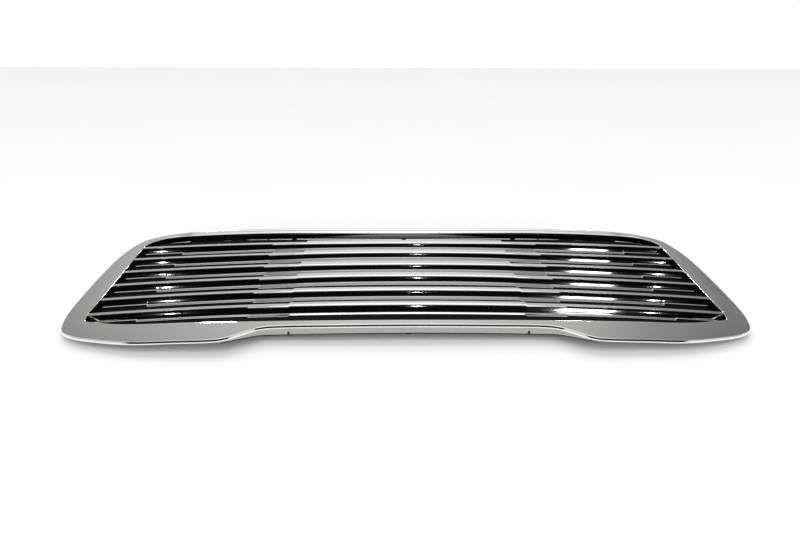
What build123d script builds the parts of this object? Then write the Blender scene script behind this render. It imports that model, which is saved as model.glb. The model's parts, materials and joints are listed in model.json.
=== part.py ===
"""Front grille: a bowed chrome surround with six stepped slats, black pieces behind them and their fixings.

The grille lies on its back. +X runs across the car, +Y towards the bonnet, +Z out of the front face.
The origin is the middle of the footprint, on the plane that the rubber buffers rest on. Millimetres.
"""

from build123d import *
from math import sqrt
import os

os.makedirs("parts", exist_ok=True)

# ---- Driving dimensions: the face ------------------------------------------------------------
CROWN = 29.0                # height of the front face at the middle of the grille
BOW_RADIUS = 6250.0         # plan radius of the front face, which falls away to both ends

# ---- Surround: edge of the right half, from the middle of the upper edge round to the notch --
PLATE = 4.0                 # thickness of the ring
HALF_WIDTH = 460.0
TOP_MIDDLE = (0.0, 177.0)
TOP_SHOULDER = (335.0, 187.5)
UPPER_CORNER = [(396.0, 178.5), (433.0, 161.0), (449.0, 126.0)]
SIDE_MIDDLE = (HALF_WIDTH, 0.0)
LOWER_CORNER = [(452.0, -130.0), (443.0, -150.0), (428.0, -160.5), (392.0, -173.5)]
BASE_LOW = (296.0, -187.0)
NOTCH_OUTSIDE = (240.0, -187.5)
NOTCH_INSIDE = (178.0, -157.0)
NOTCH_MIDDLE = (0.0, -157.0)

# ---- Opening in the surround, right half ------------------------------------------------------
OPEN_HALF = 428.0
OPEN_TOP_MIDDLE = (0.0, 151.0)
OPEN_TOP_SHOULDER = (372.0, 167.5)
OPEN_UPPER_CORNER = [(404.0, 162.0), (423.0, 146.0)]
OPEN_SIDE_TOP = (OPEN_HALF, 118.0)
OPEN_SIDE_BASE = (OPEN_HALF, -117.0)
OPEN_LOWER_CORNER = [(412.0, -126.5), (384.0, -133.5)]
OPEN_BASE_SHOULDER = (300.0, -139.5)
OPEN_BASE_MIDDLE = (0.0, -146.0)
BASE_SLOPE = (-1.0, -0.035)  # direction of the lower edge at its shoulder
WALL = 1.6                  # thickness of the return wall and of the slats' webs
WALL_DEPTH = 9.0
FLOOR_GAP = 1.0             # nothing but the buffers comes nearer to the rest plane

# ---- Slats -----------------------------------------------------------------------------------
FIRST_SLAT = 114.0          # front edge of the top slat at the middle
PITCH = 43.0
RISE = [8.5, 5.5, 1.5, -1.5, -4.0, -5.0]    # how far each slat's ends stand above its middle
INNER_STEP = 159.0          # where the noses change width, from the middle
OUTER_STEP = 214.0
STEP_RUN = 4.0
NOSE_WIDTH = 6.0
NOSE_STEP = 3.4             # how much further forward the nose comes between the steps
MIDDLE_STEP = 1.0           # the same, between the inner steps
MIDDLE_BACK = 12.0          # width of the nose behind the front edge, between the inner steps
SLAT_DEPTH = 11.2
NOSE_THICK = 1.8
FOOT_THICK = 1.6
FOOT_WIDE = 8.5
FOOT_NARROW = 4.0
FOOT_STEP = 362.0           # the foot is narrow outside this distance
SLAT_END = OPEN_HALF - 0.6
LUG_IN = 424.0
LUG_END = 441.0
LUG_WIDTH = 8.0
LUG_TOP = 4.95              # height of the lugs that reach under the surround
LUG_THICK = 1.6

# ---- Carriers, backing panel, ribs and rails -----------------------------------------------------------------
CLEAR = 0.15                # air between pieces that lie against each other
CARRIER_IN = OPEN_HALF + WALL + 0.4
CARRIER_OUT = 446.0
CARRIER_END = 128.0
RIBS = {"rib_outer_left": -362.0, "rib_inner_left": -186.0, "rib_centre": 0.0,
        "rib_inner_right": 186.0, "rib_outer_right": 362.0}
PANEL_DEPTH = SLAT_DEPTH + 1.5              # depth of the backing panel's rear face
RIB_WIDTH = 7.0
RIB_DEPTH = 16.6
RIB_TAIL = 3.0              # how far a rib reaches past the middle of its rail
RAIL_HALF = 376.0
RAIL_DEPTH = 11.0
TOP_RAIL = (158.5, 165.5)
TOP_RAIL_RISE = 16.5        # the upper rail follows the upper edge, which rises to its shoulders
BASE_RAIL = (-154.0, -148.0)
BASE_RAIL_RISE = 5.0
RAIL_SCREWS = [60.0, 230.0, 340.0]
CARRIER_SCREW_AT = [-96.5, -40.0, 7.0, 54.0, 108.0]

# ---- Notch skirt ------------------------------------------------------------------------------
SKIRT_DEPTH = 14.0
SKIRT_THICK = 1.4
SKIRT_SET = 0.8
SLOT_AT = 153.0
SLOT_WIDTH = 3.0
SLOT_HIGH = 4.0

# ---- Fixings ----------------------------------------------------------------------------------
BRACKET_AT = 280.0
BRACKET_LENGTH = 28.0
BRACKET_SEAT = 8.0
BRACKET_REACH = 9.0         # from the middle of the rail to the bolt hole
BRACKET_WIDTH = 15.0
BRACKET_SCREW_AT = 9.0
BRACKET_SCREW_SET = 1.0
BRACKET_THICK = 1.6
BRACKET_LOW = 2.0
BOLT_R = 2.75
SCREW_R = 1.4
SCREW_HEAD_R = 2.7
SCREW_HEAD = 1.5
SCREW_BITE = 2.2            # depth of a screw in the ring
BUFFER_AT = [96.0, -83.0]
BUFFER_R = 5.0
BUFFER_HIGH = 1.5
BUFFER_SEAT = 0.5
SEAL_DEPTH = 6.0
TOP_SEAL = (167.0, 172.0)
TOP_SEAL_HALF = 330.0
BASE_SEAL = (300.0, -167.5)
BASE_SEAL_SIZE = (100.0, 5.0, CROWN)
CLIP_SIZE = (9.0, 4.4, 5.2)
CLIP_Y = -152.0
CLIP_NIB = (2.4, 3.4, 2.0)

SLATS = len(RISE)


# ---- Shapes that several pieces share ---------------------------------------------------------
def face_height(x):
    """Height of the front face at a distance x from the middle."""
    return CROWN - BOW_RADIUS + sqrt(BOW_RADIUS**2 - x**2)


def bowed_slab(low, high):
    """Everything between two depths behind the front face, which are negative or zero."""
    reach = HALF_WIDTH + 20
    end = face_height(reach)
    with BuildPart() as slab:
        with BuildSketch(Plane.XZ):
            with BuildLine():
                ThreePointArc((-reach, end + high), (0, CROWN + high), (reach, end + high))
                Line((reach, end + high), (reach, end + low))
                ThreePointArc((reach, end + low), (0, CROWN + low), (-reach, end + low))
                Line((-reach, end + low), (-reach, end + high))
            make_face()
        extrude(amount=HALF_WIDTH, both=True)
    return slab.part


def surround_outline():
    """Plan of the surround's outer edge."""
    with BuildSketch() as plan:
        with BuildLine():
            Spline(TOP_MIDDLE, TOP_SHOULDER, tangents=[(1, 0), (1, 0)])
            Spline(TOP_SHOULDER, *UPPER_CORNER, SIDE_MIDDLE, tangents=[(1, 0), (0, -1)])
            Spline(SIDE_MIDDLE, *LOWER_CORNER, BASE_LOW, tangents=[(0, -1), (-1, 0)])
            Line(BASE_LOW, NOTCH_OUTSIDE)
            Spline(NOTCH_OUTSIDE, NOTCH_INSIDE, tangents=[(-1, 0), (-1, 0)])
            Line(NOTCH_INSIDE, NOTCH_MIDDLE)
            Line(NOTCH_MIDDLE, TOP_MIDDLE)
        make_face()
        mirror(about=Plane.YZ)
    return plan.sketch


def opening_outline(grow=0.0):
    """Plan of the opening's edge, or of a line that far outside it."""
    top, base = OPEN_TOP_MIDDLE[1], OPEN_BASE_MIDDLE[1]

    def moved(*points):
        middle, half = (top + base) / 2, (top - base) / 2
        return [(x * (1 + grow / OPEN_HALF), y + grow * (y - middle) / half) for x, y in points]

    top_middle, top_shoulder, side_top = moved(OPEN_TOP_MIDDLE, OPEN_TOP_SHOULDER, OPEN_SIDE_TOP)
    side_base, base_shoulder, base_middle = moved(OPEN_SIDE_BASE, OPEN_BASE_SHOULDER, OPEN_BASE_MIDDLE)
    with BuildSketch() as plan:
        with BuildLine():
            Spline(top_middle, top_shoulder, tangents=[(1, 0), (1, 0)])
            Spline(top_shoulder, *moved(*OPEN_UPPER_CORNER), side_top, tangents=[(1, 0), (0, -1)])
            Line(side_top, side_base)
            Spline(side_base, *moved(*OPEN_LOWER_CORNER), base_shoulder, tangents=[(0, -1), BASE_SLOPE])
            Spline(base_shoulder, base_middle, tangents=[BASE_SLOPE, (-1, 0)])
            Line(base_middle, top_middle)
        make_face()
        mirror(about=Plane.YZ)
    return plan.sketch


def row_line(row, x):
    """Y of a slat's front edge at x, before its steps."""
    return FIRST_SLAT - row * PITCH + RISE[row] * (x / OPEN_HALF) ** 2


def long_edge(row, steps):
    """Points of one long edge of a slat, left to right. steps are (outer x, offset), widest first."""
    right = []
    for (reach, offset), inner in zip(steps, [*steps[1:], None]):
        right.append((reach, offset))
        if inner:
            right.append((inner[0] + STEP_RUN, offset))
    right.reverse()
    both = [(-x, offset) for x, offset in reversed(right)] + [(0.0, right[0][1])] + right
    return [(x, row_line(row, x) + offset) for x, offset in both]


def slat_plan(row, near, far):
    """Plan face between two long edges of a slat."""
    with BuildSketch() as plan:
        with BuildLine():
            Polyline(*long_edge(row, near), *reversed(long_edge(row, far)), close=True)
        make_face()
    return plan.sketch


def shifted(steps, by):
    """Long-edge steps moved along Y."""
    return [(reach, offset + by) for reach, offset in steps]


def block(x, y, z, size):
    """A box with the middle of its lower face at a place."""
    with BuildPart() as one:
        with Locations((x, y, z)):
            Box(*size, align=(Align.CENTER, Align.CENTER, Align.MIN))
    return one.part


def post(x, y, z, radius, height):
    """An upright cylinder that stands on a height z."""
    with BuildPart() as one:
        with Locations((x, y, z)):
            Cylinder(radius, height, align=(Align.CENTER, Align.CENTER, Align.MIN))
    return one.part


def screw(x, y, z, top):
    """A pan-head screw that points up: its head's lower face is at z and its tip at top."""
    with BuildPart() as one:
        add(post(x, y, z, SCREW_HEAD_R, SCREW_HEAD))
        add(post(x, y, z, SCREW_R, top - z))
    return one.part


def screw_tip(x):
    """Height that a screw into the surround reaches at x."""
    return face_height(x) - PLATE + SCREW_BITE


def lug(row, side, grow=0.0):
    """Tongue on a slat's end that reaches under the surround, or the space that it needs."""
    size = (LUG_END - LUG_IN + 2 * grow, LUG_WIDTH + 2 * grow, LUG_THICK + 2 * grow)
    y = row_line(row, LUG_IN) - LUG_WIDTH / 2 + WALL
    return block(side * (LUG_IN + LUG_END) / 2, y, LUG_TOP - LUG_THICK - grow, size)


def rail_y(rail, rise, x):
    """Y of the middle of a rail at x."""
    return sum(rail) / 2 + rise * (x / RAIL_HALF) ** 2


def save(piece, name):
    """Labels a finished piece and writes it."""
    piece.part.label = name
    export_step(piece.part, f"parts/{name}.step")


NOSE_FRONT = [(SLAT_END, 0.0), (OUTER_STEP, -NOSE_STEP), (INNER_STEP, -MIDDLE_STEP)]
NOSE_BACK = [(SLAT_END, NOSE_WIDTH), (INNER_STEP, MIDDLE_BACK)]
FOOT_FRONT = [(SLAT_END, -FOOT_NARROW), (FOOT_STEP, -FOOT_WIDE)]
SIDES = (-1, 1)

BACK_SLAB = bowed_slab(-2 * CROWN, -PLATE)
WALL_SLAB = bowed_slab(-WALL_DEPTH, 0)
NOSE_SLAB = bowed_slab(-NOSE_THICK, 0)
WEB_SLAB = bowed_slab(-SLAT_DEPTH, 0)
FOOT_SLAB = bowed_slab(-SLAT_DEPTH, FOOT_THICK - SLAT_DEPTH)
RIB_SLAB = bowed_slab(-RIB_DEPTH, -PANEL_DEPTH - CLEAR)
PAD_SLAB = bowed_slab(-RIB_DEPTH, -RAIL_DEPTH - CLEAR)
PANEL_SLAB = bowed_slab(-PANEL_DEPTH, -SLAT_DEPTH - CLEAR)
RAIL_SLAB = bowed_slab(-RAIL_DEPTH, -PLATE - CLEAR)
CARRIER_SLAB = bowed_slab(-CROWN, -PLATE - CLEAR)
SKIRT_SLAB = bowed_slab(-SKIRT_DEPTH, -PLATE - CLEAR)
SEAL_SLAB = bowed_slab(-PLATE - SEAL_DEPTH, -PLATE - CLEAR)


# ---- Places of the screws: (x, y) ---------------------------------------------------------------
CARRIER_MIDDLE = (CARRIER_IN + CARRIER_OUT) / 2
CARRIER_SCREWS = [(side * CARRIER_MIDDLE, y) for side in SIDES for y in CARRIER_SCREW_AT]
TOP_SCREWS = [(side * x, rail_y(TOP_RAIL, TOP_RAIL_RISE, x)) for side in SIDES for x in RAIL_SCREWS]
BASE_SCREWS = [(side * x, rail_y(BASE_RAIL, BASE_RAIL_RISE, x)) for side in SIDES for x in RAIL_SCREWS]
SURROUND_SCREWS = [*CARRIER_SCREWS, *TOP_SCREWS, *BASE_SCREWS]
RAILS = ((TOP_RAIL, TOP_RAIL_RISE), (BASE_RAIL, BASE_RAIL_RISE))
RIB_SCREWS = [(x, rail_y(*rail, x)) for x in RIBS.values() for rail in RAILS]
BRACKETS = {"upper_bracket_left": (-BRACKET_AT, TOP_RAIL, TOP_RAIL_RISE),
            "upper_bracket_right": (BRACKET_AT, TOP_RAIL, TOP_RAIL_RISE),
            "lower_bracket_left": (-BRACKET_AT, BASE_RAIL, BASE_RAIL_RISE),
            "lower_bracket_right": (BRACKET_AT, BASE_RAIL, BASE_RAIL_RISE)}
BRACKET_SCREWS = [(x + along, rail_y(rail, rise, x) - BRACKET_SCREW_SET)
                  for x, rail, rise in BRACKETS.values()
                  for along in (-BRACKET_SCREW_AT, BRACKET_SCREW_AT)]


# ---- Surround -----------------------------------------------------------------------------------
with BuildPart() as opening_core:
    with BuildSketch(Plane.XY.offset(-1)):
        add(opening_outline(grow=WALL))
    extrude(amount=CROWN + 2)

with BuildPart() as behind_plate:
    add(BACK_SLAB)
    add(opening_core.part, mode=Mode.SUBTRACT)

with BuildPart() as surround:
    with BuildSketch(Plane.XY.offset(FLOOR_GAP)):
        add(surround_outline())
        add(opening_outline(), mode=Mode.SUBTRACT)
    extrude(amount=CROWN)
    add(WALL_SLAB, mode=Mode.INTERSECT)
    add(behind_plate.part, mode=Mode.SUBTRACT)
    for x, y in SURROUND_SCREWS:
        add(post(x, y, 0, SCREW_R + CLEAR, screw_tip(x) + CLEAR), mode=Mode.SUBTRACT)
save(surround, "surround")


# ---- Slats ---------------------------------------------------------------------------------------
for row in range(SLATS):
    with BuildPart() as nose:
        with BuildSketch():
            add(slat_plan(row, NOSE_FRONT, NOSE_BACK))
        extrude(amount=CROWN + 1)
        add(NOSE_SLAB, mode=Mode.INTERSECT)
    with BuildPart() as web:
        with BuildSketch():
            add(slat_plan(row, NOSE_FRONT, shifted(NOSE_FRONT, WALL)))
        extrude(amount=CROWN + 1)
        add(WEB_SLAB, mode=Mode.INTERSECT)
    with BuildPart() as foot:
        with BuildSketch():
            add(slat_plan(row, FOOT_FRONT, shifted(NOSE_FRONT, WALL)))
        extrude(amount=CROWN + 1)
        add(FOOT_SLAB, mode=Mode.INTERSECT)
    with BuildPart() as slat:
        add(nose.part)
        add(web.part)
        add(foot.part)
        for side in SIDES:
            add(lug(row, side))
    save(slat, f"slat_{row + 1}")


# ---- Backing panel, which closes the opening behind the slats ------------------------------------------
with BuildPart() as backing_panel:
    with BuildSketch():
        add(opening_outline())
    extrude(amount=CROWN)
    add(PANEL_SLAB, mode=Mode.INTERSECT)
save(backing_panel, "backing_panel")


# ---- Rails behind the upper lip and the lower lip ---------------------------------------------------
def bent_strip(strip, rise, half):
    """Plan of a long strip whose ends stand that far above its middle."""
    low, high = strip
    with BuildSketch() as plan:
        with BuildLine():
            ThreePointArc((-half, low + rise), (0, low), (half, low + rise))
            Line((half, low + rise), (half, high + rise))
            ThreePointArc((half, high + rise), (0, high), (-half, high + rise))
            Line((-half, high + rise), (-half, low + rise))
        make_face()
    return plan.sketch


for name, rail, rise in (("upper_rail", TOP_RAIL, TOP_RAIL_RISE), ("lower_rail", BASE_RAIL, BASE_RAIL_RISE)):
    with BuildPart() as rail_piece:
        with BuildSketch():
            add(bent_strip(rail, rise, RAIL_HALF))
        extrude(amount=CROWN)
        add(RAIL_SLAB, mode=Mode.INTERSECT)
        for x, y in TOP_SCREWS + BASE_SCREWS + RIB_SCREWS + BRACKET_SCREWS:
            add(post(x, y, 0, SCREW_R + CLEAR, CROWN), mode=Mode.SUBTRACT)
    save(rail_piece, name)


# ---- Carriers behind the surround's sides, which hold the slats' lugs ---------------------------------
for side, name in ((-1, "carrier_left"), (1, "carrier_right")):
    with BuildPart() as carrier:
        add(block(side * CARRIER_MIDDLE, 0, FLOOR_GAP, (CARRIER_OUT - CARRIER_IN, 2 * CARRIER_END, CROWN)))
        add(CARRIER_SLAB, mode=Mode.INTERSECT)
        for row in range(SLATS):
            add(lug(row, side, grow=CLEAR), mode=Mode.SUBTRACT)
        for x, y in CARRIER_SCREWS:
            add(post(x, y, 0, SCREW_R + CLEAR, CROWN), mode=Mode.SUBTRACT)
            add(post(x, y, 0, SCREW_HEAD_R + CLEAR, FLOOR_GAP + SCREW_HEAD + CLEAR), mode=Mode.SUBTRACT)
        for y in BUFFER_AT:
            add(post(side * CARRIER_MIDDLE, y, 0, BUFFER_R + CLEAR, BUFFER_HIGH), mode=Mode.SUBTRACT)
    save(carrier, name)


# ---- Ribs behind the slats, each with a pad under both rails ------------------------------------------------------------------------------
def rib_base(x):
    """Height of a rib's lower face."""
    return max(FLOOR_GAP, face_height(x) - RIB_DEPTH)


for name, x in RIBS.items():
    ends = [rail_y(rail, rise, x) for rail, rise in RAILS]
    length = max(ends) - min(ends) + 2 * RIB_TAIL
    with BuildPart() as pads:
        for y in ends:
            add(block(x, y, FLOOR_GAP, (RIB_WIDTH, 2 * RIB_TAIL, CROWN)))
        add(PAD_SLAB, mode=Mode.INTERSECT)
    with BuildPart() as rib:
        add(block(x, sum(ends) / 2, FLOOR_GAP, (RIB_WIDTH, length, CROWN)))
        add(RIB_SLAB, mode=Mode.INTERSECT)
        add(pads.part)
        for y in ends:
            head_top = rib_base(x) + SCREW_HEAD + CLEAR
            add(post(x, y, 0, SCREW_R + CLEAR, CROWN), mode=Mode.SUBTRACT)
            add(post(x, y, 0, SCREW_HEAD_R + CLEAR, head_top), mode=Mode.SUBTRACT)
    save(rib, name)


# ---- Skirt in the notch, with two open slots for clips ------------------------------------------------------
def notch_edge(shift):
    """The notch's edge from right to left, moved along Y."""
    outside = (NOTCH_OUTSIDE[0] - 8, NOTCH_OUTSIDE[1] + shift)
    inside = (NOTCH_INSIDE[0], NOTCH_INSIDE[1] + shift)
    right = Spline(outside, inside, tangents=[(-1, 0), (-1, 0)])
    Line(inside, (-inside[0], inside[1]))
    left = Spline((-inside[0], inside[1]), (-outside[0], outside[1]), tangents=[(-1, 0), (-1, 0)])
    return right @ 0, left @ 1


with BuildPart() as lower_skirt:
    with BuildSketch():
        with BuildLine():
            near_right, near_left = notch_edge(SKIRT_SET)
            far_right, far_left = notch_edge(SKIRT_SET + SKIRT_THICK)
            Line(near_right, far_right)
            Line(near_left, far_left)
        make_face()
    extrude(amount=CROWN)
    add(SKIRT_SLAB, mode=Mode.INTERSECT)
    for side in SIDES:
        slot_base = face_height(SLOT_AT) - SKIRT_DEPTH - 1
        slot = block(side * SLOT_AT, NOTCH_MIDDLE[1], slot_base, (SLOT_WIDTH, 9, SLOT_HIGH + 1))
        add(slot, mode=Mode.SUBTRACT)
save(lower_skirt, "lower_skirt")

with BuildPart() as skirt_clips:
    for side in SIDES:
        low = face_height(SLOT_AT) - RAIL_DEPTH - CLEAR - CLIP_SIZE[2]
        nib_low = face_height(SLOT_AT) - SKIRT_DEPTH + 1
        add(block(side * SLOT_AT, CLIP_Y, low, CLIP_SIZE))
        add(block(side * SLOT_AT, CLIP_Y - CLIP_SIZE[1] / 2 - 1, nib_low, CLIP_NIB))
save(skirt_clips, "skirt_clips")


# ---- Brackets: steel angles under the rails, each with a bolt hole in its foot --------------------------------
def bracket_top(x):
    """Height of the rail's lower face at x, less the air above the bracket."""
    return face_height(x) - RAIL_DEPTH - CLEAR


for name, (x, rail, rise) in BRACKETS.items():
    y = rail_y(rail, rise, x)
    top = bracket_top(abs(x) + BRACKET_LENGTH / 2)
    foot_y = y + BRACKET_REACH
    riser_y = y + (BRACKET_SEAT - BRACKET_THICK) / 2
    with BuildPart() as bracket:
        add(block(x, y, top - BRACKET_THICK, (BRACKET_LENGTH, BRACKET_SEAT, BRACKET_THICK)))
        add(block(x, riser_y, BRACKET_LOW, (BRACKET_LENGTH, BRACKET_THICK, top - BRACKET_LOW)))
        add(block(x, foot_y, BRACKET_LOW, (BRACKET_LENGTH, BRACKET_WIDTH, BRACKET_THICK)))
        add(post(x, foot_y, 0, BOLT_R, BRACKET_LOW + BRACKET_THICK + 1), mode=Mode.SUBTRACT)
        for along in (-BRACKET_SCREW_AT, BRACKET_SCREW_AT):
            screw_y = y - BRACKET_SCREW_SET
            add(post(x + along, screw_y, BRACKET_LOW, SCREW_R + CLEAR, CROWN), mode=Mode.SUBTRACT)
    save(bracket, name)


# ---- Screws, buffers and seals ---------------------------------------------------------------------------------
with BuildPart() as surround_screws:
    for x, y in CARRIER_SCREWS:
        add(screw(x, y, FLOOR_GAP, screw_tip(x)))
    for x, y in TOP_SCREWS + BASE_SCREWS:
        add(screw(x, y, face_height(x) - RAIL_DEPTH - SCREW_HEAD - CLEAR, screw_tip(x)))
save(surround_screws, "surround_screws")

with BuildPart() as rib_screws:
    for x, y in RIB_SCREWS:
        add(screw(x, y, rib_base(x), face_height(x) - RAIL_DEPTH + SCREW_BITE))
save(rib_screws, "rib_screws")

with BuildPart() as bracket_screws:
    for x, y in BRACKET_SCREWS:
        head = bracket_top(BRACKET_AT + BRACKET_LENGTH / 2) - BRACKET_THICK - CLEAR - SCREW_HEAD
        add(screw(x, y, head, face_height(x) - RAIL_DEPTH + SCREW_BITE))
save(bracket_screws, "bracket_screws")

with BuildPart() as rubber_buffers:
    for side in SIDES:
        for y in BUFFER_AT:
            add(post(side * CARRIER_MIDDLE, y, 0, BUFFER_R, BUFFER_HIGH))
save(rubber_buffers, "rubber_buffers")

with BuildPart() as upper_seal:
    with BuildSketch():
        add(bent_strip(TOP_SEAL, TOP_RAIL_RISE * (TOP_SEAL_HALF / RAIL_HALF) ** 2, TOP_SEAL_HALF))
    extrude(amount=CROWN)
    add(SEAL_SLAB, mode=Mode.INTERSECT)
save(upper_seal, "upper_seal")

for side, name in ((-1, "lower_seal_left"), (1, "lower_seal_right")):
    with BuildPart() as lower_seal:
        add(block(side * BASE_SEAL[0], BASE_SEAL[1], 0, BASE_SEAL_SIZE))
        add(SEAL_SLAB, mode=Mode.INTERSECT)
    save(lower_seal, name)
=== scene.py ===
"""Visual model of the chrome front grille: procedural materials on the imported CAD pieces, and dense
smooth meshes for the chrome pieces and the skirt, whose reflections need real curvature.

Metres, in the row frame: +X across the car, +Y towards the bonnet edge, +Z out of the front face.
Sections are worked out in millimetres and scaled when a mesh is made. Angles are in degrees, except
where a name or a comment says otherwise. A depth is measured down from the bowed front face.
"""

import bmesh
import bpy
import json
import math
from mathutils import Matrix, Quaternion, Vector


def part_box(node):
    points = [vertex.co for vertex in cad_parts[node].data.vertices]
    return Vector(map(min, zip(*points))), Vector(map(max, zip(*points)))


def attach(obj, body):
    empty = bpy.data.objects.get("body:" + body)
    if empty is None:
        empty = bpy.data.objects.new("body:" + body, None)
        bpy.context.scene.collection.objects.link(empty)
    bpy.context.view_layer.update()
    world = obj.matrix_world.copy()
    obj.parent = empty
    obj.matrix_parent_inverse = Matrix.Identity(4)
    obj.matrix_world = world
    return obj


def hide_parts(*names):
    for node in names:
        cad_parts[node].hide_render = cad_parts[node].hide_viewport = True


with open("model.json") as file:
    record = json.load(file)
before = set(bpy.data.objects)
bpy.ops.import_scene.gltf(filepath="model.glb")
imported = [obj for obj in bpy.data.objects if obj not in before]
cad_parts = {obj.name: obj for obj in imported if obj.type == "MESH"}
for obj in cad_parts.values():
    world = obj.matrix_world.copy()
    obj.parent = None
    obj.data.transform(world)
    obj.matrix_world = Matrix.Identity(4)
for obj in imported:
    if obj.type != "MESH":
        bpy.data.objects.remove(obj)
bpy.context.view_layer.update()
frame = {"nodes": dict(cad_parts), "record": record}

MM = 0.001
BODY = "root"
SHARP = 35.0                    # faces that meet at a larger angle than this have a sharp edge

# ---- Front face and surround, in millimetres ---------------------------------------------------------
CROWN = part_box("slat_1")[1].z / MM      # height of the front face at the middle
BOW_RADIUS = 6250.0             # of the front face, across the car
SIDE_EDGE = 428.0               # the opening's straight sides, from the middle
NOTCH_LINE = -158.8             # the surround's edge over the notch
NOTCH_TOP = (178.0, NOTCH_LINE)
NOTCH_FOOT = (240.0, -187.1)    # where the lower edge starts to rise to the notch
NOTCH_KNOTS = 5                 # on that rise, as many as the inner edge has beside it
SPAN_STEPS = 10                 # stations on each stretch of an outline
PLATE = 4.0                     # thickness of the face
WALL = 1.6                      # thickness of the wall round the opening
WALL_DEPTH = 11.1
RIM_HIGH = 4.4                  # depth of the rim round the outer edge
RIM_FOOT = [(0.9, 0.0), (0.35, 0.1), (0.08, 0.4), (0.0, 1.0), (0.03, 1.7), (0.2, 2.25)]     # (in, up)
RIM_LEAN = 68.0                 # slope of the rim's drafted part
RIM_DRAFT = 0.9                 # depth at which the draft meets the roll over to the face
LIP_ROLL = 0.9                  # radius of the face's inner edge
CORNER_ROLL = 2.6               # how much larger that radius is in the upper corners
CREASE = 0.52                   # where the face's two zones meet, as a share of its width from outside
CREASE_FLAT = 1.0               # width of the level strip between the two zones
UPPER_TILTS = (8.4, 8.8)        # of the two zones over the opening, falling towards it
UPPER_FADE = (340.0, 430.0)     # along X, where those tilts end
SIDE_TILT = 1.4                 # of both zones beside the opening, which meet in a slight ridge

# ---- Slats, in millimetres ---------------------------------------------------------------------------
SLATS = 6
SLAT_REACH = 427.4              # the slats' ends, from the middle
FIRST_SLAT = 114.0              # the first slat's line, and the pitch of the others below it
PITCH = 43.0
INNER_STEP = 159.0              # where the noses step, and where the ledges get shorter near the ends
OUTER_STEP = 214.0
FOOT_STEP = 362.0
STEP_RUN = 3.0                  # width of a step along X
INNER_SET_BACK = 2.4            # the noses step forward towards the middle, and then back by less
OUTER_SET_OUT = 3.4
STATION = 2.4                   # spacing of a slat's sections
STEP_STATIONS = 8               # extra sections on each side of a step, and their spacing
STEP_SPACING = STEP_RUN / 14
NOSE = 6.0                      # place of a nose's back edge, from the slat's line
NOSE_ROLL = 0.8                 # radius of its front edge
NOSE_BACK = (0, 1)              # the section's faces on its back edge
BEVEL = 10.5                    # slope of its bevel at the middle
BEVEL_WIDTHS = (2.0, 3.8)       # from the front edge, at the sides and at the middle
BEVEL_FADE = (INNER_STEP - 20.0, OUTER_STEP)
WALL_LINE = -0.1                # top of the wall under a nose, from the slat's line
LEDGE_DEPTH_ASIDE = 10.0
LEDGE_FADE = (60.0, 330.0)      # along X, where the ledges go from the middle's form to the sides'
LEDGE_REACH = (8.5, 4.5)        # from the nose's front, before and beyond the foot step
LEDGE_SHORTEST = 1.5            # from the wall's foot
LEDGE_ROLL = 0.6                # radius of a ledge's edge
END_RISE = 0.8                  # how much higher a ledge is beyond the foot step
END_FALL = 14.0                 # how much its slope changes there

# Each slat's own values, from the top one down
RISE = [8.5, 5.5, 1.5, -1.5, -4.0, -5.0]            # of its ends over its middle, along Y
MIDDLE_SHIFT = [-2.4, 1.8, 0.0, 2.2, -1.0, -1.4]    # of its middle, along Y
SHIFT_FADE = (60.0, 260.0)                          # along X, where that shift ends
NOSE_WIDER = [6.0, 6.0, 6.0, 6.0, 3.2, 3.2]         # how much wider its nose is at the middle
LEDGE_DEPTH = [7.8, 8.25, 8.7, 9.15, 9.6, 10.8]     # at the middle
LEDGE_LONGER = [2.4, 2.4, 3.0, 1.6, 0.6, -2.0]      # how much longer its ledge is at the middle
LEDGE_FALL = [(3.0, 3.0)] * 5 + [(-2.0, 6.5)]       # slope of its ledge, at the sides and at the middle
WALL_LEAN = [(15.0, 21.0)] * 5 + [(17.5, 26.5)]     # lean of its wall, at the top and at the foot

# ---- Sill under the upper lip, in millimetres ----------------------------------------------------------
SILL_LINE = 158.3               # Y of its line at the middle
SILL_RISE = 11.0                # how much higher that line is at the ends
SILL_RISE_RUN = (0.0, 300.0)    # along X, where it rises
SILL_HALF = 361.0               # its ends, from the middle
SILL_TOP = 3.6                  # depths of its top and its foot
SILL_DEPTH = 11.2
SILL_LEAN = 26.5                # at the sides
SILL_MIDDLE_LEAN = (31.5, 27.0)     # at the middle, at the top and at the foot
SILL_FADE = (60.0, 240.0)
SILL_STATIONS = 60              # on each side of the middle

# ---- Skirt in the notch, in millimetres ----------------------------------------------------------------
SKIRT_END = (232.0, -187.0)     # on the surround's lower edge, on the right
SKIRT_TOP = 4.1                 # depths of its top and its lower edge
SKIRT_LOW = 14.0
SKIRT_END_HIGH = 2.5            # its height at the ends
SKIRT_FADE = (172.0, 238.0)     # along X, where it goes down to that height
SKIRT_INSET = 0.8               # its front, from the surround's edge
SKIRT_THICK = 1.4
SKIRT_RISE_STEPS = 14           # stations on the rise to the notch, and over the notch
SKIRT_STEPS = 60
SKIRT_SHADE_LINE_AND_BACK = range(1, 6)    # faces on its lower edge, black as a painted shadow line, and on its back, without plating
SLOT_AT = 153.0                 # the two clip slots in its lower edge
SLOT_HALF = 1.5
SLOT_HIGH = 4.0
SLOT_EDGE = 0.05                # half the run of a slot's side


# ---- Numbers --------------------------------------------------------------------------------------------
def face_height(x):
    """Height of the bowed front face at x."""
    return CROWN - BOW_RADIUS + math.sqrt(BOW_RADIUS**2 - x**2)


def ease(value, start, end):
    """0 before start, 1 after end, smooth between."""
    t = min(1.0, max(0.0, (value - start) / (end - start)))
    return t * t * (3 - 2 * t)


def central(x, fade):
    """1 at the middle, up to the start of the fade; 0 beyond its end, on both sides."""
    return 1 - ease(abs(x), *fade)


def step_fade(step):
    """The short fade at one of the slats' steps."""
    return step - STEP_RUN / 2, step + STEP_RUN / 2


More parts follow.
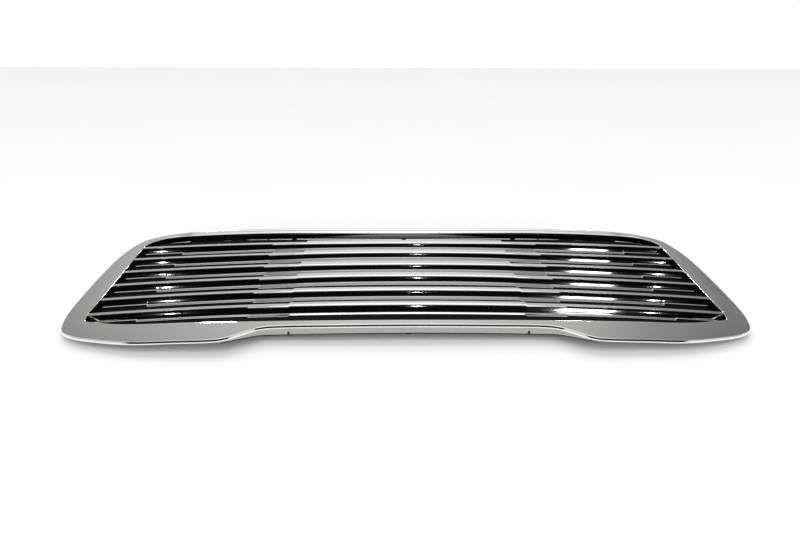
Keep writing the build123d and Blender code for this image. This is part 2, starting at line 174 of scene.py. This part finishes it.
def blend(a, b, t):
    return a + (b - a) * t


def slope(degrees):
    return math.tan(math.radians(degrees))


def arc(centre, radius, start, end, steps):
    """Points on an arc, in degrees from start to end; the first point is left out."""
    points = []
    for i in range(1, steps + 1):
        a = math.radians(blend(start, end, i / steps))
        points.append((centre[0] + radius * math.cos(a), centre[1] + radius * math.sin(a)))
    return points


def straight(start, end, steps):
    """Points on a straight line; the first point is left out."""
    return [(blend(start[0], end[0], i / steps), blend(start[1], end[1], i / steps))
            for i in range(1, steps + 1)]


def leaning_wall(start, foot, leans, steps):
    """Points (back, depth) down a wall to the depth foot, with an evenly changing lean; the first is left
    out."""
    back, depth = start
    drop = (foot - depth) / steps
    points = []
    for i in range(1, steps + 1):
        depth += drop
        back -= drop * slope(blend(*leans, i / steps))
        points.append((back, depth))
    return points


def s_curve(start, end, parts):
    """Points on a smooth step between two levels; the first point is left out."""
    return [(blend(start[0], end[0], i / parts), blend(start[1], end[1], ease(i / parts, 0, 1)))
            for i in range(1, parts + 1)]


def closed_curve(knots, steps):
    """Centripetal Catmull-Rom points on a closed curve through the knots."""
    count = len(knots)
    points = []
    for i in range(count):
        p = [Vector(knots[(i + k) % count]) for k in (-1, 0, 1, 2)]
        t = [0.0]
        for a, b in zip(p, p[1:]):
            t.append(t[-1] + math.sqrt((b - a).length))
        for step in range(steps):
            s = blend(t[1], t[2], step / steps)
            a = [((t[k + 1] - s) * p[k] + (s - t[k]) * p[k + 1]) / (t[k + 1] - t[k]) for k in range(3)]
            b = [((t[k + 2] - s) * a[k] + (s - t[k]) * a[k + 1]) / (t[k + 2] - t[k]) for k in range(2)]
            points.append(((t[2] - s) * b[0] + (s - t[1]) * b[1]) / (t[2] - t[1]))
    return points


def mirrored(right):
    """Closed loop of knots from those of its right half, which starts and ends at x = 0."""
    return right + [(-x, y) for x, y in reversed(right[1:-1])]


# ---- Materials ------------------------------------------------------------------------------------------
def new_material(name, metallic, roughness, base):
    """A principled material, its node tree and its shader, with even values before any texture is added."""
    material = bpy.data.materials.new(name)
    material.use_nodes = True
    shader = material.node_tree.nodes["Principled BSDF"]
    shader.inputs["Metallic"].default_value = metallic
    shader.inputs["Roughness"].default_value = roughness
    shader.inputs["Base Color"].default_value = (*base, 1)
    return material, material.node_tree, shader


def noise(tree, scale, detail=4.0, kind="ShaderNodeTexNoise", stretch=(1, 1, 1)):
    """A texture over object coordinates; scale is in features per metre."""
    place = tree.nodes.new("ShaderNodeTexCoord")
    mapping = tree.nodes.new("ShaderNodeMapping")
    mapping.inputs["Scale"].default_value = stretch
    texture = tree.nodes.new(kind)
    texture.inputs["Scale"].default_value = scale
    if "Detail" in texture.inputs:
        texture.inputs["Detail"].default_value = detail
    tree.links.new(place.outputs["Object"], mapping.inputs["Vector"])
    tree.links.new(mapping.outputs["Vector"], texture.inputs["Vector"])
    return texture.outputs["Fac"] if "Fac" in texture.outputs else texture.outputs["Distance"]


def map_range(tree, value, start, end, low=0.0, high=1.0):
    """The value, moved from start..end to low..high."""
    node = tree.nodes.new("ShaderNodeMapRange")
    node.inputs["From Min"].default_value = start
    node.inputs["From Max"].default_value = end
    node.inputs["To Min"].default_value = low
    node.inputs["To Max"].default_value = high
    tree.links.new(value, node.inputs["Value"])
    return node.outputs["Result"]


def tint(tree, shader, value, low, high, stops=(0.3, 0.7)):
    """Base colour from low to high, where the value goes from one stop to the other."""
    node = tree.nodes.new("ShaderNodeValToRGB")
    for element, at, colour in zip(node.color_ramp.elements, stops, (low, high)):
        element.position = at
        element.color = (*colour, 1)
    tree.links.new(value, node.inputs["Fac"])
    tree.links.new(node.outputs["Color"], shader.inputs["Base Color"])


def roughen(tree, shader, value, low, high):
    """Roughness from low to high, where the value goes from 0.3 to 0.7."""
    tree.links.new(map_range(tree, value, 0.3, 0.7, low, high), shader.inputs["Roughness"])


def bump(tree, shader, value, height):
    """Surface relief; height is in metres."""
    node = tree.nodes.new("ShaderNodeBump")
    node.inputs["Strength"].default_value = 1.0
    node.inputs["Distance"].default_value = height
    tree.links.new(value, node.inputs["Height"])
    tree.links.new(node.outputs["Normal"], shader.inputs["Normal"])


def chrome():
    """Bright plating with a faint orange peel and a little haze."""
    material, tree, shader = new_material("chrome", 1.0, 0.04, (0.9, 0.9, 0.89))
    haze = noise(tree, 14.0)
    tint(tree, shader, haze, (0.88, 0.88, 0.868), (0.915, 0.915, 0.905))
    roughen(tree, shader, haze, 0.03, 0.07)
    bump(tree, shader, noise(tree, 60.0, detail=0.0), 0.0000005)
    return material


def satin_chrome():
    """Duller plating, drawn along the part."""
    material, tree, shader = new_material("satin_chrome", 1.0, 0.3, (0.43, 0.44, 0.425))
    drawn = noise(tree, 400.0, stretch=(0.04, 1, 1))
    tint(tree, shader, drawn, (0.405, 0.415, 0.40), (0.455, 0.465, 0.45))
    roughen(tree, shader, drawn, 0.26, 0.36)
    bump(tree, shader, drawn, 0.00001)
    return material


def black_plastic():
    """Moulded black plastic with a fine grain."""
    material, tree, shader = new_material("black_plastic", 0.0, 0.55, (0.005, 0.005, 0.0055))
    shader.inputs["Specular IOR Level"].default_value = 0.08
    mottle = noise(tree, 30.0)
    tint(tree, shader, mottle, (0.004, 0.004, 0.0045), (0.009, 0.009, 0.0095))
    roughen(tree, shader, mottle, 0.55, 0.7)
    bump(tree, shader, noise(tree, 1800.0, detail=2.0), 0.00006)
    return material


def zinc_steel():
    """Zinc plating with its mottled spangle."""
    material, tree, shader = new_material("zinc_steel", 1.0, 0.36, (0.62, 0.62, 0.58))
    spangle = noise(tree, 240.0, kind="ShaderNodeTexVoronoi")
    tint(tree, shader, spangle, (0.56, 0.57, 0.55), (0.68, 0.67, 0.62))
    roughen(tree, shader, noise(tree, 120.0), 0.28, 0.46)
    bump(tree, shader, noise(tree, 900.0), 0.00002)
    return material


def rubber():
    """Matt rubber with a dusty bloom."""
    material, tree, shader = new_material("rubber", 0.0, 0.85, (0.02, 0.02, 0.02))
    tint(tree, shader, noise(tree, 180.0), (0.014, 0.014, 0.014), (0.034, 0.034, 0.033))
    bump(tree, shader, noise(tree, 2200.0), 0.00005)
    return material


def foam():
    """Closed-cell foam with small pits."""
    material, tree, shader = new_material("foam", 0.0, 0.95, (0.035, 0.035, 0.037))
    cells = noise(tree, 900.0, kind="ShaderNodeTexVoronoi")
    tint(tree, shader, cells, (0.018, 0.018, 0.02), (0.05, 0.05, 0.053), stops=(0.1, 0.6))
    bump(tree, shader, cells, 0.0003)
    return material


def nylon():
    """Black nylon, slightly uneven in tone."""
    material, tree, shader = new_material("nylon", 0.0, 0.42, (0.02, 0.02, 0.02))
    tone = noise(tree, 90.0)
    tint(tree, shader, tone, (0.012, 0.012, 0.012), (0.026, 0.026, 0.025))
    roughen(tree, shader, tone, 0.36, 0.5)
    bump(tree, shader, noise(tree, 1500.0), 0.00003)
    return material


def floor_finish():
    """White matt studio floor."""
    material, tree, shader = new_material("floor_finish", 0.0, 0.9, (0.93, 0.93, 0.93))
    shader.inputs["Specular IOR Level"].default_value = 0.0
    tint(tree, shader, noise(tree, 3.0), (0.925, 0.925, 0.925), (0.935, 0.935, 0.935))
    return material


FINISHES = (chrome, satin_chrome, black_plastic, zinc_steel, rubber, foam, nylon)
MATERIALS = {finish.__name__: finish() for finish in FINISHES}      # by the record's material slots


def finish_cad_nodes():
    """Give every CAD node the material of its slot in the record."""
    for subpart in frame["record"]["subparts"]:
        for place in frame["nodes"][subpart["node"]].material_slots:
            place.material = MATERIALS[subpart["material_slot"]]


# ---- Meshes ---------------------------------------------------------------------------------------------
def skin(rows, closed):
    """Vertices in metres, and faces, through rows of points in millimetres. Each row is a closed section.
    A closed skin joins its last row to its first; an open one has two end faces, after all the others."""
    across = len(rows[0])
    vertices = [(x * MM, y * MM, z * MM) for row in rows for x, y, z in row]
    faces = []
    for i in range(len(rows) if closed else len(rows) - 1):
        j = (i + 1) % len(rows)
        for k in range(across):
            m = (k + 1) % across
            faces.append((i * across + k, j * across + k, j * across + m, i * across + m))
    if not closed:
        faces.append(tuple(range(across)))
        faces.append(tuple(reversed(range((len(rows) - 1) * across, len(rows) * across))))
    return vertices, faces


def piece(name, rows, closed, slot, replaces=(), unplated_and_shade=()):
    """A visual piece through rows of points. The faces that start at the listed section points are black
    plastic, some hidden and without plating, some black as painted shade; the others have the slot's
    material."""
    mesh = bpy.data.meshes.new(name)
    vertices, faces = skin(rows, closed)
    mesh.from_pydata(vertices, [], faces)
    mesh.validate()
    build = bmesh.new()
    build.from_mesh(mesh)
    bmesh.ops.recalc_face_normals(build, faces=build.faces)
    build.to_mesh(mesh)
    build.free()
    made = bpy.data.objects.new(name, mesh)
    bpy.context.scene.collection.objects.link(made)
    mesh.shade_smooth()
    mesh.set_sharp_from_angle(angle=math.radians(SHARP))
    mesh.materials.append(MATERIALS[slot])
    mesh.materials.append(MATERIALS["black_plastic"])
    for polygon in mesh.polygons:
        if len(polygon.vertices) == 4 and polygon.index % len(rows[0]) in unplated_and_shade:
            polygon.material_index = 1
    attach(made, BODY)
    if replaces:
        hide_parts(*replaces)
    return made


# ---- Surround -------------------------------------------------------------------------------------------
OUTER_EDGE = mirrored([
    (0.0, 177.0), (110.0, 180.0), (225.0, 185.0), (335.0, 187.4), (375.0, 183.6), (410.0, 174.2),
    (436.0, 157.0), (449.0, 126.0), (456.5, 85.0), (459.8, 20.0), (460.0, -45.0), (458.5, -92.0),
    (454.0, -122.0), (445.0, -146.0), (425.0, -161.8), (390.0, -174.2), (345.0, -184.4), (296.0, -186.6),
    NOTCH_FOOT, *s_curve(NOTCH_FOOT, NOTCH_TOP, NOTCH_KNOTS), (90.0, NOTCH_LINE), (0.0, NOTCH_LINE)])
INNER_EDGE = mirrored([
    (0.0, 158.2), (110.0, 161.6), (225.0, 168.6), (335.0, 171.4), (370.0, 169.6), (395.0, 165.2),
    (414.0, 154.6), (425.5, 140.0), (SIDE_EDGE, 112.0), (SIDE_EDGE, 50.0), (SIDE_EDGE, -20.0),
    (SIDE_EDGE, -75.0), (SIDE_EDGE, -105.0), (423.0, -121.5), (406.0, -127.4), (380.0, -134.4),
    (345.0, -138.4), (296.0, -139.6), (240.0, -141.8), (227.6, -142.2), (215.2, -142.6), (202.8, -143.0),
    (190.4, -143.4), (178.0, -143.7), (90.0, -145.4), (0.0, -146.0)])


def face_tilts(x, towards):
    """Tilts of the outer and inner face zones at a station; positive falls towards the opening."""
    upper = max(0.0, -towards.y) ** 2 * central(x, UPPER_FADE)
    ridge = SIDE_TILT * abs(towards.x) ** 2
    return UPPER_TILTS[0] * upper - ridge, UPPER_TILTS[1] * upper + ridge


def lip_radius(towards):
    """Radius of the face's inner edge, which is largest where the section runs diagonally down."""
    corner = max(0.0, -4 * abs(towards.x) * towards.y - 1)
    return LIP_ROLL + CORNER_ROLL * min(1.0, corner)


def rim_section():
    """The rim's points from its foot to the start of the face, as (distance in, depth)."""
    section = [(inward, RIM_HIGH - up) for inward, up in RIM_FOOT]
    inward, depth = section[-1]
    shoulder = inward + (depth - RIM_DRAFT) / slope(RIM_LEAN)
    section += straight(section[-1], (shoulder, RIM_DRAFT), 4)
    roll = RIM_DRAFT / (1 - math.cos(math.radians(RIM_LEAN)))
    centre = (shoulder + roll * math.sin(math.radians(RIM_LEAN)), roll)
    return section + arc(centre, roll, 270 - RIM_LEAN, 270, 9)


def surround_section(outer, inner):
    """Closed section at a station, as (distance in from the outer edge, depth), and the number of its
    plated faces, which come first."""
    width = (inner - outer).length
    towards = (inner - outer).normalized()
    outer_tilt, inner_tilt = face_tilts(outer.x, towards)
    lip_roll = lip_radius(towards)
    section = rim_section()
    start = section[-1][0]
    crease = CREASE * width
    section += straight(section[-1], (crease, (crease - start) * slope(outer_tilt)), 6)
    crease += CREASE_FLAT
    crease_depth = section[-1][1]
    section.append((crease, crease_depth))
    lip = width - lip_roll
    section += straight(section[-1], (lip, crease_depth + (lip - crease) * slope(inner_tilt)), 6)
    depth = section[-1][1] + lip_roll
    section += arc((lip, depth), lip_roll, 270, 360, 7)
    plated = len(section) - 1
    # The rest is black: the wall round the opening as painted shade, and the underside, without plating
    section += [(width, blend(depth, WALL_DEPTH, 0.5)), (width - 0.05, WALL_DEPTH - 0.3),
                (width - 0.4, WALL_DEPTH), (width - 1.2, WALL_DEPTH), (width - WALL, WALL_DEPTH - 0.4),
                (width - WALL, max(PLATE, depth) + 1.2), (blend(width, crease, 0.2), max(PLATE, depth + 0.6)),
                (crease, PLATE + crease_depth)]
    return section, plated


def make_surround():
    """The bowed ring. The wall round its opening is black plastic as painted shade inside the opening, and
    its underside is black plastic without plating.
    """
    rows = []
    for outer, inner in zip(closed_curve(OUTER_EDGE, SPAN_STEPS), closed_curve(INNER_EDGE, SPAN_STEPS)):
        towards = (inner - outer).normalized()
        section, plated = surround_section(outer, inner)
        row = []
        for distance, depth in section:
            x, y = outer + towards * distance
            row.append((x, y, face_height(x) - depth))
        rows.append(row)
    return piece("chrome_surround", rows, True, "chrome", replaces=("surround",),
                 unplated_and_shade=range(plated, len(rows[0])))


# ---- Slats ----------------------------------------------------------------------------------------------
def row_line(row, x):
    """Y of a slat's line at x. Its section is placed from this line, which has no steps."""
    shift = MIDDLE_SHIFT[row] * central(x, SHIFT_FADE)
    return FIRST_SLAT - row * PITCH + RISE[row] * (x / SIDE_EDGE) ** 2 + shift


def slat_section(row, x):
    """Closed section of a slat at x, as (distance back from its line, depth), and the number of its faces
    before the unplated underside."""
    middle = central(x, step_fade(INNER_STEP))
    stepped = central(x, step_fade(OUTER_STEP))
    at_end = 1 - central(x, step_fade(FOOT_STEP))
    bevelled = central(x, BEVEL_FADE)
    shallow = central(x, LEDGE_FADE)

    # Nose, from its back edge over its top and bevel to its front edge. The inner step is gradual on the
    # first slat and sharp on the last.
    set_back = blend(bevelled, middle, row / (SLATS - 1))
    front = INNER_SET_BACK * set_back - OUTER_SET_OUT * stepped
    back = NOSE + NOSE_WIDER[row] * middle
    edge = front + NOSE_ROLL
    bevel_start = front + blend(*BEVEL_WIDTHS, bevelled)
    section = [(back - 0.3, 0.9), (back, 0.5), (back - 0.25, 0.1), (back - 0.7, 0.0)]
    section += straight(section[-1], (bevel_start, 0.0), 4)
    section += straight(section[-1], (edge, (bevel_start - edge) * slope(BEVEL * bevelled)), 4)
    section += arc((edge, section[-1][1] + NOSE_ROLL), NOSE_ROLL, 270, 150, 7)

    # Wall, down to a small fillet over the ledge
    ledge_depth = blend(LEDGE_DEPTH_ASIDE, LEDGE_DEPTH[row], shallow) - END_RISE * at_end
    section.append((WALL_LINE, section[-1][1]))
    section += leaning_wall(section[-1], ledge_depth - 1.0, WALL_LEAN[row], 10)
    wall_end = section[-1][0]
    foot = wall_end - 0.6
    section += [(wall_end - 0.25, ledge_depth - 0.3), (foot, ledge_depth)]

    # Ledge, out to its rounded edge
    reach = blend(*LEDGE_REACH, at_end) + LEDGE_LONGER[row] * shallow
    fall = blend(*LEDGE_FALL[row], shallow) - END_FALL * at_end
    end = min(foot - LEDGE_SHORTEST, front - reach) + LEDGE_ROLL
    section += straight(section[-1], (end, ledge_depth + (foot - end) * slope(fall)), 4)
    low = section[-1][1]
    section += arc((end, low + LEDGE_ROLL), LEDGE_ROLL, 270, 120, 6)

    # Underside
    plated = len(section) - 1
    section += [(foot - 1.0, low + 1.25), (foot + 0.8, low + 1.2), (foot + 2.2, low),
                (front + 3.2, 2.6), (front + 3.6, 1.8), (back - 0.9, 1.6)]
    return section, plated


def slat_stations():
    """Places of a slat's sections along X, closer together at its steps."""
    places = set()
    count = round(SLAT_REACH / STATION)
    for i in range(-count, count + 1):
        places.add(round(SLAT_REACH * i / count, 3))
    for step in (INNER_STEP, OUTER_STEP, FOOT_STEP):
        for i in range(-STEP_STATIONS, STEP_STATIONS + 1):
            at = step + i * STEP_SPACING
            places.update((round(at, 3), round(-at, 3)))
    return sorted(x for x in places if abs(x) <= SLAT_REACH)


def make_slat(row):
    """One slat. The back edge of its nose and its underside are black plastic, without plating."""
    rows = []
    for x in slat_stations():
        section, plated = slat_section(row, x)
        rows.append([(x, row_line(row, x) + back, face_height(x) - depth) for back, depth in section])
    return piece(f"chrome_slat_{row + 1}", rows, False, "chrome", replaces=(f"slat_{row + 1}",),
                 unplated_and_shade=(*NOSE_BACK, *range(plated, len(rows[0]))))


# ---- Sill -----------------------------------------------------------------------------------------------
def sill_section(x):
    """Closed section of the sill, as (distance back from its line, depth), and its plated faces' count."""
    middle = central(x, SILL_FADE)
    leans = [blend(SILL_LEAN, lean, middle) for lean in SILL_MIDDLE_LEAN]
    section = [(0.3, SILL_TOP)]
    section += leaning_wall(section[0], SILL_DEPTH, leans, 8)
    plated = len(section) - 1
    section += [(section[-1][0] + 1.4, SILL_DEPTH), (1.6, SILL_TOP + 1.2)]
    return section, plated


def make_sill():
    """Leaning wall under the surround's upper lip. Only its front is plated."""
    rows = []
    for i in range(-SILL_STATIONS, SILL_STATIONS + 1):
        x = SILL_HALF * i / SILL_STATIONS
        line = SILL_LINE + SILL_RISE * ease(abs(x), *SILL_RISE_RUN)
        section, plated = sill_section(x)
        rows.append([(x, line + back, face_height(x) - depth) for back, depth in section])
    return piece("chrome_sill", rows, False, "chrome", unplated_and_shade=range(plated, len(rows[0])))


# ---- Skirt ----------------------------------------------------------------------------------------------
def skirt_path():
    """Points along the surround's lower edge, from the skirt's right end through the notch to its left."""
    right = [Vector(p) for p in (SKIRT_END, *s_curve(NOTCH_FOOT, NOTCH_TOP, SKIRT_RISE_STEPS)[1:])]
    places = {blend(NOTCH_TOP[0], -NOTCH_TOP[0], i / SKIRT_STEPS) for i in range(1, SKIRT_STEPS)}
    for side in (SLOT_AT - SLOT_HALF, SLOT_AT + SLOT_HALF):
        for place in (side - SLOT_EDGE, side + SLOT_EDGE):
            places.update((place, -place))
    level = [Vector((x, NOTCH_LINE)) for x in sorted(places, reverse=True)]
    left = [Vector((-p.x, p.y)) for p in reversed(right)]
    return right + level + left


def skirt_section(x):
    """Closed section of the skirt at x, as (distance in from the surround's edge, depth)."""
    low = blend(SKIRT_LOW, SKIRT_TOP + SKIRT_END_HIGH, ease(abs(x), *SKIRT_FADE))
    if abs(abs(x) - SLOT_AT) < SLOT_HALF:
        low -= SLOT_HIGH
    back = SKIRT_INSET + SKIRT_THICK
    return [(SKIRT_INSET, SKIRT_TOP), (SKIRT_INSET, low - 1.6), (1.0, low - 0.3), (1.5, low),
            (2.0, low - 0.15), (back, low - 0.6), (back, SKIRT_TOP)]


def make_skirt():
    """Satin panel that stands in the notch, with a black painted shadow line along its lower edge."""
    path = skirt_path()
    rows = []
    for i, at in enumerate(path):
        along = (path[min(i + 1, len(path) - 1)] - path[max(i - 1, 0)]).normalized()
        inward = Vector((along.y, -along.x))
        row = []
        for distance, depth in skirt_section(at.x):
            x, y = at + inward * distance
            row.append((x, y, face_height(x) - depth))
        rows.append(row)
    return piece("notch_skirt", rows, False, "satin_chrome", replaces=("lower_skirt",),
                 unplated_and_shade=SKIRT_SHADE_LINE_AND_BACK)


# ---- Camera, in metres ----------------------------------------------------------------------------------
EYE = Vector((-0.0251, -0.9092, 0.4225)) + Vector((0, 0, CROWN * MM))
LOOK_DOWN = 25.0
TURN = -0.017546                # radians, about the upright axis
ROLL = 0.0057955                # radians, about the line of sight
FILM_MM = 36.0
LENS_MM = 30.6
SIGHT_END = 60.0                # the camera sees nothing beyond this


def make_camera():
    """Camera at the photograph's viewing angle."""
    camera = bpy.data.objects.new("camera", bpy.data.cameras.new("camera"))
    bpy.context.scene.collection.objects.link(camera)
    camera.data.sensor_width = FILM_MM
    camera.data.lens = LENS_MM
    camera.data.clip_end = SIGHT_END
    camera.location = EYE
    camera.rotation_mode = "QUATERNION"
    tilt = math.radians(LOOK_DOWN)
    ahead = Vector((0, math.cos(tilt), -math.sin(tilt)))
    turned = Quaternion((0, 0, 1), TURN)
    rolled = Quaternion((0, 0, 1), ROLL)
    camera.rotation_quaternion = turned @ ahead.to_track_quat("-Z", "Y") @ rolled
    bpy.context.scene.camera = camera


# ---- Studio, in metres ----------------------------------------------------------------------------------
FLOOR_HALF = 2.2
# Brightness of the studio by angle, from the far horizon (0) overhead (90) to the near horizon (180)
STUDIO = [(0, 0.6), (14, 0.76), (20, 0.76), (24, 0.74), (28, 0.64), (31, 0.58), (33.5, 0.58), (35.5, 1.15),
          (60, 1.15), (64, 1.8), (92, 1.8), (97, 0.42), (125, 0.41), (140, 0.24), (148, 0.004), (180, 0.002)]
STUDIO_SCALE = max(level for _, level in STUDIO)
# Share of that brightness by direction, from the left (0) to the right (1)
ASIDE = [(0.25, 0.43), (0.31, 0.60), (0.36, 0.71), (0.46, 1.0), (0.54, 1.0), (0.65, 0.72),
         (0.70, 0.45), (0.75, 0.28)]
SIDE_FILL = 0.45                # share of STUDIO_SCALE on both sides, low behind the camera
FILL_ASIDE = (0.60, 0.68)       # where that starts and is full, by distance from straight ahead (0 to 1)
FILL_BEHIND = (0.72, 0.82)      # and by angle, from the far horizon (0) to the near one (1)


def make_floor():
    """The floor that the grille lies on."""
    mesh = bpy.data.meshes.new("floor")
    corners = [(x * FLOOR_HALF, y * FLOOR_HALF, 0) for x, y in ((-1, -1), (1, -1), (1, 1), (-1, 1))]
    mesh.from_pydata(corners, [], [(0, 1, 2, 3)])
    mesh.materials.append(floor_finish())
    made = bpy.data.objects.new("floor", mesh)
    bpy.context.scene.collection.objects.link(made)
    return made


def level_ramp(tree, value, levels):
    """Grey ramp through the given (position, level) pairs."""
    node = tree.nodes.new("ShaderNodeValToRGB")
    stops = node.color_ramp.elements
    while len(stops) < len(levels):
        stops.new(0.5)
    for stop, (position, level) in zip(stops, levels):
        stop.position = position
        stop.color = (level, level, level, 1)
    tree.links.new(value, node.inputs["Fac"])
    return node.outputs["Color"]


def math_node(tree, operation, *values):
    """The result of an operation on the values."""
    node = tree.nodes.new("ShaderNodeMath")
    node.operation = operation
    for value, socket in zip(values, node.inputs):
        tree.links.new(value, socket)
    return node.outputs["Value"]


def mix_node(tree, mode):
    """A colour Mix node, as its factor, its two colour inputs and its result."""
    node = tree.nodes.new("ShaderNodeMix")
    node.data_type = "RGBA"
    node.blend_type = mode
    first, second = [socket for socket in node.inputs if socket.type == "RGBA"]
    result = next(socket for socket in node.outputs if socket.type == "RGBA")
    return node.inputs["Factor"], first, second, result


def studio_light(tree):
    """Colour of the studio by direction."""
    place = tree.nodes.new("ShaderNodeTexCoord")
    split = tree.nodes.new("ShaderNodeSeparateXYZ")
    tree.links.new(place.outputs["Generated"], split.inputs["Vector"])
    x, y, z = split.outputs
    over = map_range(tree, math_node(tree, "ARCTAN2", z, y), 0.0, math.pi)
    bands = level_ramp(tree, over, [(angle / 180, level / STUDIO_SCALE) for angle, level in STUDIO])
    across = level_ramp(tree, map_range(tree, x, -1.0, 1.0), ASIDE)
    factor, first, second, lit = mix_node(tree, "MULTIPLY")
    factor.default_value = 1.0
    tree.links.new(bands, first)
    tree.links.new(across, second)
    sideways = map_range(tree, math_node(tree, "ABSOLUTE", x), *FILL_ASIDE)
    behind = map_range(tree, over, *FILL_BEHIND)
    factor, first, second, filled = mix_node(tree, "MIX")
    tree.links.new(math_node(tree, "MULTIPLY", sideways, behind), factor)
    tree.links.new(lit, first)
    second.default_value = (SIDE_FILL, SIDE_FILL, SIDE_FILL, 1)
    return filled


def make_studio():
    """World light: grey backdrop ahead, a broad white ceiling and a dark room behind the camera. The
    camera itself sees plain white."""
    world = bpy.data.worlds.new("studio")
    bpy.context.scene.world = world
    world.use_nodes = True
    tree = world.node_tree
    tree.nodes.clear()
    studio = tree.nodes.new("ShaderNodeBackground")
    studio.inputs["Strength"].default_value = STUDIO_SCALE
    tree.links.new(studio_light(tree), studio.inputs["Color"])
    plain = tree.nodes.new("ShaderNodeBackground")
    plain.inputs["Color"].default_value = (1, 1, 1, 1)
    ray = tree.nodes.new("ShaderNodeLightPath")
    choose = tree.nodes.new("ShaderNodeMixShader")
    from_camera, otherwise, seen = choose.inputs
    tree.links.new(ray.outputs["Is Camera Ray"], from_camera)
    tree.links.new(studio.outputs["Background"], otherwise)
    tree.links.new(plain.outputs["Background"], seen)
    out = tree.nodes.new("ShaderNodeOutputWorld")
    tree.links.new(choose.outputs["Shader"], out.inputs["Surface"])


# ---- Lamps, in metres -----------------------------------------------------------------------------------
LAMP_FROM = 3.2                 # distance of a mirrored lamp from the surface that mirrors it
WALL_MIDDLE = 6.0               # depth in millimetres of the middle of a slat's wall
# Azimuths at which the lens sees the sparks of light on the slats' walls, and the long bright strip
LEFT_GLINT = -20.9
CENTRE_GLINT = 1.6
RIGHT_GLINT = 22.7
SOFTBOX_AT = 16.7
SOFTBOX_DRIFT = 0.16            # each nearer slat shows the softbox a little further out
LAST_STEEPER = 2.4              # how much more the last slat's wall leans, and how much taller
LAST_TALLER = 2.0               # the lamps must be that it shows at the middle and the right
LIP_NORMAL = (0.78, 0.62)       # inwards and up, of the bright line on the surround's side lips
FLOOR_LIGHT_ELEVATION = 35.0
FLOOR_LIGHT_FROM = 12.0


def lamp(name, place, target, width, height, radiance, lights):
    """A rectangular lamp that faces the target, lights one object only and is hidden from the camera."""
    light = bpy.data.lights.new(name, "AREA")
    light.shape = "RECTANGLE"
    light.size = width
    light.size_y = height
    light.energy = radiance * math.pi * width * height
    made = bpy.data.objects.new(name, light)
    bpy.context.scene.collection.objects.link(made)
    made.location = place
    made.rotation_mode = "QUATERNION"
    made.rotation_quaternion = (target - place).to_track_quat("-Z", "Y")
    made.visible_camera = False
    lit = bpy.data.collections.new(name + "_lights")
    lit.objects.link(lights)
    made.light_linking.receiver_collection = lit


def mirrored_lamp(name, spot, normal, width, height, radiance, mirror):
    """A lamp that the mirror shows to the lens at the spot, where its surface has that normal."""
    sight = (spot - EYE).normalized()
    away = sight - 2 * sight.dot(normal) * normal
    lamp(name, spot + away * LAMP_FROM, spot, width, height, radiance, lights=mirror)


def glint(name, row, azimuth, width, height, radiance, lean):
    """A lamp that the wall of one slat mirrors where the lens sees that wall at the azimuth."""
    across = math.tan(math.radians(azimuth) - TURN)
    x = EYE.x / MM
    for _ in range(6):
        y = row_line(row, x)
        x = EYE.x / MM + (y - EYE.y / MM) * across
    spot = Vector((x, y, face_height(x) - WALL_MIDDLE)) * MM
    along = Vector((1, 2 * RISE[row] * x / SIDE_EDGE**2, -x / BOW_RADIUS))
    down = Vector((0, -slope(lean), -1))
    normal = down.cross(along).normalized()
    mirrored_lamp(f"{name}_{row + 1}", spot, normal, width, height, radiance, slats[row])


def light_slat(row):
    """The four lamps of one slat, each with the lean of the part of the wall that shows it."""
    last = row == SLATS - 1
    steeper = LAST_STEEPER if last else 0.0
    taller = LAST_TALLER if last else 1.0
    softbox_at = SOFTBOX_AT + SOFTBOX_DRIFT * row
    glint("lamp_left", row, LEFT_GLINT, width=0.03, height=0.09, radiance=14.0, lean=19.6 + steeper)
    glint("lamp_right", row, RIGHT_GLINT, width=0.03, height=0.09, radiance=12.0, lean=19.6 + steeper)
    glint("lamp_centre", row, CENTRE_GLINT, width=0.03, height=0.05 * taller, radiance=9.0,
          lean=17.5 + steeper)
    glint("softbox", row, softbox_at, width=0.26, height=0.20 * taller, radiance=4.0,
          lean=20.4 + steeper)


def light_lip(name, side):
    """The lamp of the surround's left (-1) or right (1) inner lip."""
    lip = Vector((side * SIDE_EDGE, 0, face_height(SIDE_EDGE))) * MM
    normal = Vector((-side * LIP_NORMAL[0], 0, LIP_NORMAL[1])).normalized()
    mirrored_lamp(name, lip, normal, width=0.2, height=0.4, radiance=34.0, mirror=surround)


def light_floor():
    """A broad lamp that makes the floor an even white."""
    up = math.radians(FLOOR_LIGHT_ELEVATION)
    place = FLOOR_LIGHT_FROM * Vector((0, -math.cos(up), math.sin(up)))
    lamp("floor_light", place, Vector((0, 0, 0)), width=21.0, height=13.5, radiance=2.55, lights=floor)


finish_cad_nodes()
surround = make_surround()
make_sill()
slats = [make_slat(row) for row in range(SLATS)]
make_skirt()

floor = make_floor()
make_camera()
make_studio()
for row in range(SLATS):
    light_slat(row)
light_lip("lip_lamp_left", -1)
light_lip("lip_lamp_right", 1)
light_floor()

scene = bpy.context.scene
scene.view_settings.view_transform = "Standard"
scene.view_settings.look = "None"
